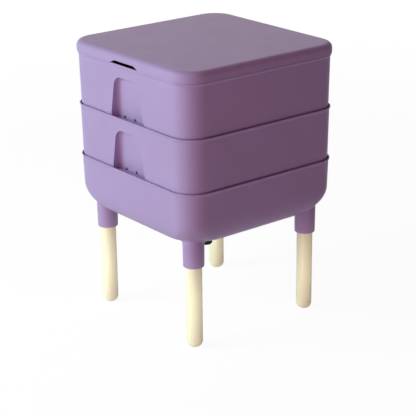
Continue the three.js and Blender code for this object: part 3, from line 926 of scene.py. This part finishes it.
def build_base(settings):
    """The collector base, at its place"""
    foot = BASE_RIM - BASE_HEIGHT
    half = BASE_FOOT_HALF
    rim = rim_profile(BASE_HEIGHT, settings.rim_rounding / MM)
    pad = [Ring(DRAIN_FLAT_HALF, -DRAIN_FALL, DRAIN_FLAT_CORNER),
           Ring(DRAIN_HALF, -DRAIN_FALL, DRAIN_CORNER)]
    outside = pad + bottom_curve(half, 0, BOTTOM_WIDTH, BOTTOM_HEIGHT, BOTTOM_CORNER)
    inside = bottom_curve(
        half - WALL, WALL, BOTTOM_WIDTH - WALL, BOTTOM_HEIGHT - WALL, BOTTOM_CORNER - WALL)[::-1]
    inner_pad = moved(pad, WALL)[::-1]
    bend = [(half, BOTTOM_HEIGHT, 0)] + rim + [(half - WALL, BOTTOM_HEIGHT, 0)]
    middle = square_rings(rounded(bend)[1:-1])
    base = shell("collector_tank", moved(outside + middle + inside + inner_pad, foot))
    mouth, roof = SOCKET_MOUTH, foot + SOCKET_ROOF
    socket = turned("socket", [
        (SOCKET_RADIUS - 8, mouth, 0), (SOCKET_RADIUS, mouth, 0.8), (SOCKET_RADIUS + 0.8, roof, 1.0),
        (SOCKET_RADIUS - 8, roof, 0)])
    bore_radius = LEG_RADIUS + GAP
    bore = turned("bore", [
        (bore_radius + 1, mouth - 2, 0), (bore_radius + 1, mouth, 0), (bore_radius, mouth + 1, 0),
        (bore_radius, LEG_TOP + GAP, 0)])
    places = [(x * LEG_PLACE, y * LEG_PLACE, 0) for x in (-1, 1) for y in (-1, 1)]
    combine(base, spread(socket, places), "UNION")
    combine(base, joined([socket_blend(place) for place in places]), "UNION")
    combine(base, spread(bore, places), "DIFFERENCE")
    drain_radius = TAIL_RADIUS + GAP
    drain = turned("drain", [(drain_radius, foot - 8, 0), (drain_radius, foot + 6, 0)])
    combine(base, drain, "DIFFERENCE")
    return base


def lid_notch(name):
    """The finger notch in the lid's front edge as a solid, with round upper corners"""
    middle = LID_EDGE + NOTCH_HEIGHT / 2
    piece = block(name, (2 * NOTCH_FOOT_HALF, NOTCH_DEPTH, NOTCH_HEIGHT),
                  (0, NOTCH_DEPTH / 2 - LID_HALF - 2, middle))
    stretch(piece, lambda point: point.z > middle * MM, (NOTCH_TOP_HALF / NOTCH_FOOT_HALF, 1, 1))
    round_edges(piece, lambda edge: upper_corner(edge, middle), NOTCH_CORNER, 6)
    pick_points(piece, lambda point: point.z < (LID_EDGE + 0.1) * MM)
    bpy.ops.mesh.select_mode(type="FACE")
    bpy.ops.mesh.extrude_region_move(
        TRANSFORM_OT_translate={"value": (0, 0, -(RIB_DROP + 3) * MM)})
    faces_out()
    return piece


def at_notch(point):
    """Whether a point of the lid lies on its skirt round a notch"""
    x, y, z = (value / MM for value in point)
    return (abs(abs(y) - LID_HALF) < 0.1 and abs(x) < NOTCH_FOOT_HALF + WALL
            and 1.3 < z - LID_EDGE < NOTCH_HEIGHT + 0.5)


def build_lid(settings):
    """The lid, at its place"""
    height = LID_TOP - LID_EDGE
    crown = settings.lid_crown / MM
    edge = settings.edge_rounding / MM
    roof = height - WALL - crown
    top = [(LID_HALF * share, height - crown * share * share, 0)
           for share in (0.06, 0.2, 0.4, 0.6, 0.8)]
    outside = top + [
        (LID_HALF, height - crown, LID_FILLET - crown),
        (LID_HALF, 0, edge),
        (LID_HALF - WALL, 0, 0.8),
        (LID_HALF - WALL, roof, LID_HALF - WALL - RIB_OUTER),
        (RIB_OUTER, roof, 0),
    ]
    rib = [
        (RIB_OUTER, -RIB_DROP, 0.8),
        (RIB_INNER, -RIB_DROP, 0.8),
        (RIB_INNER, roof, 1.0),
        (RIB_INNER - 20, roof, 0),
    ]
    rings = []
    for x, z in rounded(outside + rib):
        rings.append(Ring(x, z + LID_EDGE, min(corner_at(x), x * 0.9)))
    lid = shell("lid_cover", rings)
    combine(lid, front_and_back(lid_notch("notch")), "DIFFERENCE")
    soften(lid, lambda edge: bends(edge, 25) and all(at_notch(v.co) for v in edge.verts),
           NOTCH_LIP, 3)
    return lid


# Tap


def build_tap_body(settings):
    """Tap body with its threaded tail, flange and cross barrel, at its place"""
    edge = settings.edge_rounding / MM
    root = TAIL_RADIUS - THREAD_DEPTH
    foot = FLANGE_TOP - FLANGE_HEIGHT
    thread = []
    for i in range(THREAD_TURNS):
        start = TAP_TOP - (THREAD_TURNS - i) * THREAD_PITCH
        thread += [(root, start + 0.4, 0), (TAIL_RADIUS, start + 1.1, 0),
                   (TAIL_RADIUS, start + 1.7, 0), (root, start + 2.4, 0)]
    body = turned("tap_body_moulding", [
        (4, TAP_FOOT, 0), (BODY_RADIUS, TAP_FOOT, 4), (BODY_RADIUS, foot, 2),
        (FLANGE_RADIUS, foot, 1.2), (FLANGE_RADIUS, FLANGE_TOP, edge),
        (root, FLANGE_TOP, 0.3)] + thread + [
        (root, TAP_TOP, 0.5), (4, TAP_TOP, 0)])
    barrel = turned_along_y("barrel", [
        (4, -BARREL_HALF, 0), (BARREL_RADIUS, -BARREL_HALF, edge), (BARREL_RADIUS, BARREL_HALF, edge),
        (4, BARREL_HALF, 0)])
    combine(body, barrel, "UNION")
    reach = BARREL_HALF + 2
    bore = PLUG_RADIUS + GAP
    combine(body, turned_along_y("plug_bore", [(bore, -reach, 0), (bore, reach, 0)]), "DIFFERENCE")
    flow = turned("flow", [
        (BORE_RADIUS + 1.2, TAP_FOOT - 1, 0), (BORE_RADIUS + 1.2, TAP_FOOT, 0),
        (BORE_RADIUS, TAP_FOOT + 1.2, 0), (BORE_RADIUS, TAP_TOP + 2, 0)])
    combine(body, flow, "DIFFERENCE")
    return body


def build_back_nut(foot, top):
    """Six-sided nut with its corners turned down and a washer face under it"""
    corner = NUT_ACROSS / 2 / math.cos(math.pi / 6)
    nut = shell("tap_nut", round_rings([(corner, foot), (corner, top)]), 6)
    combine(nut, turned("nut_turning", [
        (4, foot, 0), (NUT_FACE, foot, 0), (corner + 0.1, foot + NUT_TURNING, 0),
        (corner + 0.1, top - NUT_TURNING, 0), (NUT_FACE, top, 0), (4, top, 0)]), "INTERSECT")
    bore = TAIL_RADIUS + GAP
    combine(nut, turned("nut_bore", [
        (bore + 1, foot - 1, 0), (bore + 1, foot, 0), (bore, foot + 1, 0), (bore, top - 1, 0),
        (bore + 1, top, 0), (bore + 1, top + 1, 0)]), "DIFFERENCE")
    return nut


def build_washer(name, foot, top, outer):
    """Rubber washer with rounded edges and a shallow groove in its upper face"""
    bore = TAIL_RADIUS + GAP
    middle = (foot + top) / 2
    return turned(name, [
        (bore, middle, 0), (bore, foot, 0.4), (outer, foot, 0.7), (outer, top, 0.7),
        (bore + 4, top, 0), (bore + 3.4, top - 0.4, 0.2), (bore + 2.8, top, 0), (bore, top, 0.4),
        (bore, middle + 0.1, 0)], closed=True)


def build_plug():
    """Turning plug with its cross hole, shut, and grooves for its seal ring and its clip"""
    front, back = low("tap_plug", 1), high("tap_plug", 1)
    ring = (low("tap_seal_ring", 1) + high("tap_seal_ring", 1)) / 2
    clip = (low("tap_clip", 1) - GAP, high("tap_clip", 1) + GAP)
    seal = (ring - SEAL_HALF, ring + SEAL_HALF)
    seal_floor, clip_floor = PLUG_RADIUS - SEAL_DEPTH, PLUG_RADIUS - CLIP_DEPTH
    plug = turned_along_y("plug", [
        (3, front, 0), (PLUG_RADIUS, front, 0.8), (PLUG_RADIUS, seal[0], 0.2),
        (seal_floor, seal[0], 0.3), (seal_floor, seal[1], 0.3), (PLUG_RADIUS, seal[1], 0.2),
        (PLUG_RADIUS, clip[0], 0.2), (clip_floor, clip[0], 0.3),
        (clip_floor, clip[1], 0.3), (PLUG_RADIUS, clip[1], 0.2),
        (PLUG_RADIUS, back, 1), (6, back, 0.5), (5, back - 1, 0.3), (3, back - 1, 0)])
    reach = PLUG_RADIUS + 2
    hole = turned("cross_hole", [(BORE_RADIUS, -reach, 0), (BORE_RADIUS, reach, 0)])
    combine(plug, placed(hole, (0, 0, PLUG_AXIS), (0, math.pi / 2, 0)), "DIFFERENCE")
    return plug


def build_seal_ring():
    """Rubber ring of round section in the plug's groove"""
    middle = (low("tap_seal_ring", 1) + high("tap_seal_ring", 1)) / 2
    half = (high("tap_seal_ring", 1) - low("tap_seal_ring", 1)) / 2
    reach = high("tap_seal_ring", 0) - half
    steps = 14
    section = []
    for i in range(steps):
        turn = (i + 0.5) / steps * 2 * math.pi
        section.append((reach + half * math.cos(turn), middle + half * math.sin(turn), 0))
    return turned_along_y("seal_ring", section, closed=True)


def build_clip():
    """Open spring clip with two eyes beside its mouth"""
    front, back = low("tap_clip", 1), high("tap_clip", 1)
    inner, outer = PLUG_RADIUS - CLIP_INSET, PLUG_RADIUS + CLIP_PROUD
    middle = (inner + outer) / 2
    clip = turned_along_y("spring_clip", [
        (middle, front, 0), (outer, front, 0.35), (outer, back, 0.35), (inner, back, 0.35),
        (inner, front, 0.35), (middle - 0.1, front, 0)], closed=True)
    apex = PLUG_AXIS - outer
    mouth = block("mouth", (2 * outer, CLIP_MOUTH, 2 * outer), (0, (front + back) / 2, apex))
    stretch(mouth, lambda point: point.z > apex * MM, (0.02, 1, 1))
    object_mode()
    combine(clip, mouth, "DIFFERENCE")
    for turn in (-math.radians(EYE_ANGLE), math.radians(EYE_ANGLE)):
        spot = (middle * math.sin(turn), 0, -middle * math.cos(turn))
        eye = turned_along_y("eye", [
            (1, front, 0), (EYE_RADIUS, front, 0.35), (EYE_RADIUS, back, 0.35), (1, back, 0)], 32)
        combine(clip, placed(eye, spot), "UNION")
        hole = turned_along_y("eye_hole", [(EYE_HOLE, front - 1, 0), (EYE_HOLE, back + 1, 0)], 32)
        combine(clip, placed(hole, spot), "DIFFERENCE")
    return clip


def build_lever():
    """Lever: a capped hub over the plug's end and a tapered arm with a ridged tip, shut"""
    lever = turned_along_y("lever_hub", [
        (3, LEVER_FRONT, 0), (BARREL_RADIUS, LEVER_FRONT, 2.2),
        (BARREL_RADIUS, LEVER_BACK, 0.6), (3, LEVER_BACK, 0)])
    half = LEVER_TIP / 2
    arm = block("arm", (-LEVER_TIP, ARM_THICKNESS, ARM_HEIGHT),
                (half, LEVER_FRONT + ARM_THICKNESS / 2, 0))
    stretch(arm, lambda point: point.x < half * MM, (1, 1, ARM_TAPER))
    round_edges(arm, lambda edge: all(v.co.x < half * MM for v in edge.verts)
                and abs(edge.verts[0].co.z - edge.verts[1].co.z) < MM, ARM_TIP, 10)
    round_edges(arm, lambda edge: bends(edge, 60), ARM_EDGE, 3)
    faces_out()
    combine(lever, placed(arm, (0, 0, PLUG_AXIS)), "UNION")
    for step in range(RIDGE_COUNT):
        ridge = turned("ridge", [
            (0.3, -RIDGE_HALF, 0), (RIDGE_RADIUS, -RIDGE_HALF, 0.6),
            (RIDGE_RADIUS, RIDGE_HALF, 0.6), (0.3, RIDGE_HALF, 0)], 20)
        place = (LEVER_TIP + 5 + RIDGE_PITCH * step, LEVER_FRONT + 0.2, PLUG_AXIS)
        combine(lever, placed(ridge, place), "UNION")
    bore = PLUG_RADIUS + GAP
    cap_inside = low("tap_plug", 1) - GAP
    combine(lever, turned_along_y("lever_bore", [
        (bore, cap_inside, 0), (bore, LEVER_BACK + 2, 0)]), "DIFFERENCE")
    return lever


# Operators


class WORMERY_OT_trays(bpy.types.Operator):
    """Model one tray and copy it for the other"""
    bl_idname = "wormery.trays"
    bl_label = "Trays"

    def execute(self, context):
        tray = build_tray(context.scene.wormery)
        shoulder = TRAY_FOOT + PLUG_DEPTH
        for name, node, rise in (("lower_tray_shell", "lower_tray", shoulder),
                                 ("upper_tray_shell", "upper_tray", shoulder + TRAY_PITCH)):
            finish_piece(copy_of(tray, name, (0, 0, rise)), node, [node], "moulded_plastic")
        bpy.data.objects.remove(tray)
        return {"FINISHED"}


class WORMERY_OT_base(bpy.types.Operator):
    """Model the collector base with its four leg sockets"""
    bl_idname = "wormery.base"
    bl_label = "Collector base"

    def execute(self, context):
        base = build_base(context.scene.wormery)
        finish_piece(base, "base", ["collector_base"], "moulded_plastic")
        return {"FINISHED"}


class WORMERY_OT_lid(bpy.types.Operator):
    """Model the lid"""
    bl_idname = "wormery.lid"
    bl_label = "Lid"

    def execute(self, context):
        lid = build_lid(context.scene.wormery)
        finish_piece(lid, "lid", ["lid"], "moulded_plastic")
        return {"FINISHED"}


class WORMERY_OT_legs(bpy.types.Operator):
    """Model one wooden leg and copy it for the others"""
    bl_idname = "wormery.legs"
    bl_label = "Legs"

    def execute(self, context):
        leg = turned("leg", [
            (3, 0, 0), (LEG_RADIUS, 0, LEG_END), (LEG_RADIUS, LEG_TOP, LEG_HEAD),
            (LEG_RADIUS - 4, LEG_TOP, 0)])
        places = {
            "leg_front_left": (-1, -1), "leg_front_right": (1, -1),
            "leg_back_right": (1, 1), "leg_back_left": (-1, 1)}
        for node, (x, y) in places.items():
            twin = copy_of(leg, node + "_dowel", (x * LEG_PLACE, y * LEG_PLACE, 0))
            finish_piece(twin, "base", [node], "leg_wood")
        bpy.data.objects.remove(leg)
        return {"FINISHED"}


class WORMERY_OT_tap_body(bpy.types.Operator):
    """Model the tap's body with its threaded tail and cross barrel"""
    bl_idname = "wormery.tap_body"
    bl_label = "Tap body"

    def execute(self, context):
        body = build_tap_body(context.scene.wormery)
        finish_piece(body, "base", ["tap_body"], "tap_plastic")
        return {"FINISHED"}


class WORMERY_OT_tap_seals(bpy.types.Operator):
    """Model the back nut and the rubber washers that hold the tap in the tank's floor"""
    bl_idname = "wormery.tap_seals"
    bl_label = "Tap nut and washers"

    def execute(self, context):
        nut = build_back_nut(low("tap_back_nut", 2), high("tap_back_nut", 2))
        finish_piece(nut, "base", ["tap_back_nut"], "tap_plastic")
        for node in ("tap_outer_washer", "tap_inner_washer"):
            washer = build_washer(node + "_disc", low(node, 2), high(node, 2), high(node, 0))
            finish_piece(washer, "base", [node], "seal_rubber")
        return {"FINISHED"}


class WORMERY_OT_tap_handle(bpy.types.Operator):
    """Model the plug, its seal ring, its spring clip and the lever that turn together"""
    bl_idname = "wormery.tap_handle"
    bl_label = "Tap plug and lever"

    def execute(self, context):
        finish_piece(build_plug(), "tap_handle", ["tap_plug"], "tap_plastic")
        finish_piece(build_lever(), "tap_handle", ["tap_lever"], "tap_plastic")
        finish_piece(build_seal_ring(), "tap_handle", ["tap_seal_ring"], "seal_rubber")
        finish_piece(build_clip(), "tap_handle", ["tap_clip"], "clip_steel")
        return {"FINISHED"}


def look_in(azimuth, elevation, roll=0.0):
    """Rotation of a camera or lamp that looks in from a side, as degrees round and up"""
    tilt = Euler((math.radians(90 - elevation), 0, math.radians(azimuth)))
    return (tilt.to_matrix() @ Matrix.Rotation(math.radians(roll), 3, "Z")).to_euler()


def stand_off(target, azimuth, elevation, distance):
    """A place at a distance from a target, as degrees round and up from the front"""
    turn, rise = math.radians(azimuth), math.radians(elevation)
    return (target[0] + distance * math.sin(turn) * math.cos(rise),
            target[1] - distance * math.cos(turn) * math.cos(rise),
            target[2] + distance * math.sin(rise))


class Lamp(NamedTuple):
    """A soft lamp: the height it points at, where it stands and how it shines"""
    name: str
    aim: float
    azimuth: float
    elevation: float
    distance: float
    size: tuple
    spread: float
    watts: float
    colour: tuple


LAMPS = (
    Lamp("window", 0.3, -22, 22, 3.4, (2.4, 2.4), 180, 107, (0.66, 1.0, 0.98)),
    Lamp("room", 0.3, 22, 12, 3.4, (2.4, 2.4), 180, 33, (1.0, 0.42, 0.45)),
    Lamp("far_window", 0.3, -128, 32, 3.0, (2.4, 2.4), 180, 9.5, (1.0, 0.70, 0.61)),
    Lamp("leg_strip", 0.088, 66, 0, 2.2, (2.4, 0.14), 5, 0.47, (0.88, 1.0, 0.82)),
)


class WORMERY_OT_stage(bpy.types.Operator):
    """Add the floor, the lamps, the pale surroundings and the camera"""
    bl_idname = "wormery.stage"
    bl_label = "Stage"

    def execute(self, context):
        object_mode()
        bpy.ops.mesh.primitive_plane_add(size=FLOOR_SIZE, location=(0, 0, 0))
        floor = context.active_object
        floor.name = "floor"
        floor.data.materials.append(floor_material())
        for lamp in LAMPS:
            aim = (0, 0, lamp.aim)
            bpy.ops.object.light_add(
                type="AREA", rotation=look_in(lamp.azimuth, lamp.elevation),
                location=stand_off(aim, lamp.azimuth, lamp.elevation, lamp.distance))
            light = context.active_object
            light.name = lamp.name
            light.data.shape = "RECTANGLE"
            light.data.size, light.data.size_y = lamp.size
            light.data.spread = math.radians(lamp.spread)
            light.data.energy = lamp.watts
            light.data.color = lamp.colour
        light_world(context.scene)
        bpy.ops.object.camera_add(
            location=stand_off(CAMERA_AIM, CAMERA_AZIMUTH, CAMERA_ELEVATION, CAMERA_DISTANCE),
            rotation=look_in(CAMERA_AZIMUTH, CAMERA_ELEVATION, CAMERA_ROLL))
        camera = context.active_object
        camera.data.lens = CAMERA_LENS
        camera.data.sensor_width = CAMERA_SENSOR
        camera.data.clip_end = CAMERA_SIGHT
        context.scene.camera = camera
        context.scene.view_settings.view_transform = "Standard"
        return {"FINISHED"}


def seen_directly(paint):
    """1 for what the camera sees, straight, in a reflection or through glass"""
    rays = paint.add("ShaderNodeLightPath", {}, {}).socket.node.outputs
    kinds = ("Is Camera Ray", "Is Glossy Ray", "Is Transmission Ray")
    straight, mirrored, through = (Wire(paint, rays[kind]) for kind in kinds)
    total = straight + mirrored + through
    return paint.add("ShaderNodeMath", {"operation": "MINIMUM"}, {0: total, 1: 1.0})


def floor_material():
    """White floor that keeps a soft share of the shadow"""
    paint = new_paint("floor")
    floor = paint.surface(Base_Color=(0.9, 0.9, 0.9, 1), Roughness=0.9)
    lit = Wire(paint, paint.tree.nodes["Principled BSDF"].outputs["BSDF"])
    glow = paint.add("ShaderNodeEmission", {}, {"Color": WHITE, "Strength": FLOOR_GLOW})
    away = paint.add("ShaderNodeVectorMath", {"operation": "LENGTH"}, {0: paint.place()}, "Value")
    far = paint.steps(away * 0.2, [(0.25, 0.0), (0.9, 1.0)])
    share = seen_directly(paint) * ((1 - SHADOW_SHARE) + SHADOW_SHARE * far)
    mixed = paint.add("ShaderNodeMixShader", {}, {0: share, 1: lit, 2: glow})
    paint.feed(paint.tree.nodes["Material Output"].inputs["Surface"], mixed)
    return floor


def light_world(scene):
    """White surroundings as seen, and a plain soft light from them"""
    scene.world = bpy.data.worlds.new("studio")
    paint = Paint(scene.world)
    seen = seen_directly(paint)
    sockets = paint.tree.nodes["Background"].inputs
    paint.feed(sockets["Color"], paint.blend(seen, WORLD_COLOUR, WHITE))
    paint.feed(sockets["Strength"], WORLD_LIGHT + seen * (1 - WORLD_LIGHT))


class WORMERY_PT_panel(bpy.types.Panel):
    """Buttons for each piece of the wormery, and its sizes and colours"""
    bl_label = "Wormery"
    bl_idname = "WORMERY_PT_panel"
    bl_space_type = "VIEW_3D"
    bl_region_type = "UI"
    bl_category = "Wormery"

    def draw(self, context):
        column = self.layout.column()
        for maker in MAKING_ORDER:
            column.operator(maker.bl_idname)
        for key in WormerySettings.__annotations__:
            column.prop(context.scene.wormery, key)


MAKING_ORDER = (
    WORMERY_OT_stage,
    WORMERY_OT_base,
    WORMERY_OT_trays,
    WORMERY_OT_lid,
    WORMERY_OT_legs,
    WORMERY_OT_tap_body,
    WORMERY_OT_tap_seals,
    WORMERY_OT_tap_handle,
)
CLASSES = (WormerySettings,) + MAKING_ORDER + (WORMERY_PT_panel,)


def register():
    for item in CLASSES:
        bpy.utils.register_class(item)
    bpy.types.Scene.wormery = PointerProperty(type=WormerySettings)


def unregister():
    del bpy.types.Scene.wormery
    for item in reversed(CLASSES):
        bpy.utils.unregister_class(item)


def main():
    register()
    for maker in MAKING_ORDER:
        group, name = maker.bl_idname.split(".")
        getattr(getattr(bpy.ops, group), name)()


if __name__ == "__main__":
    main()
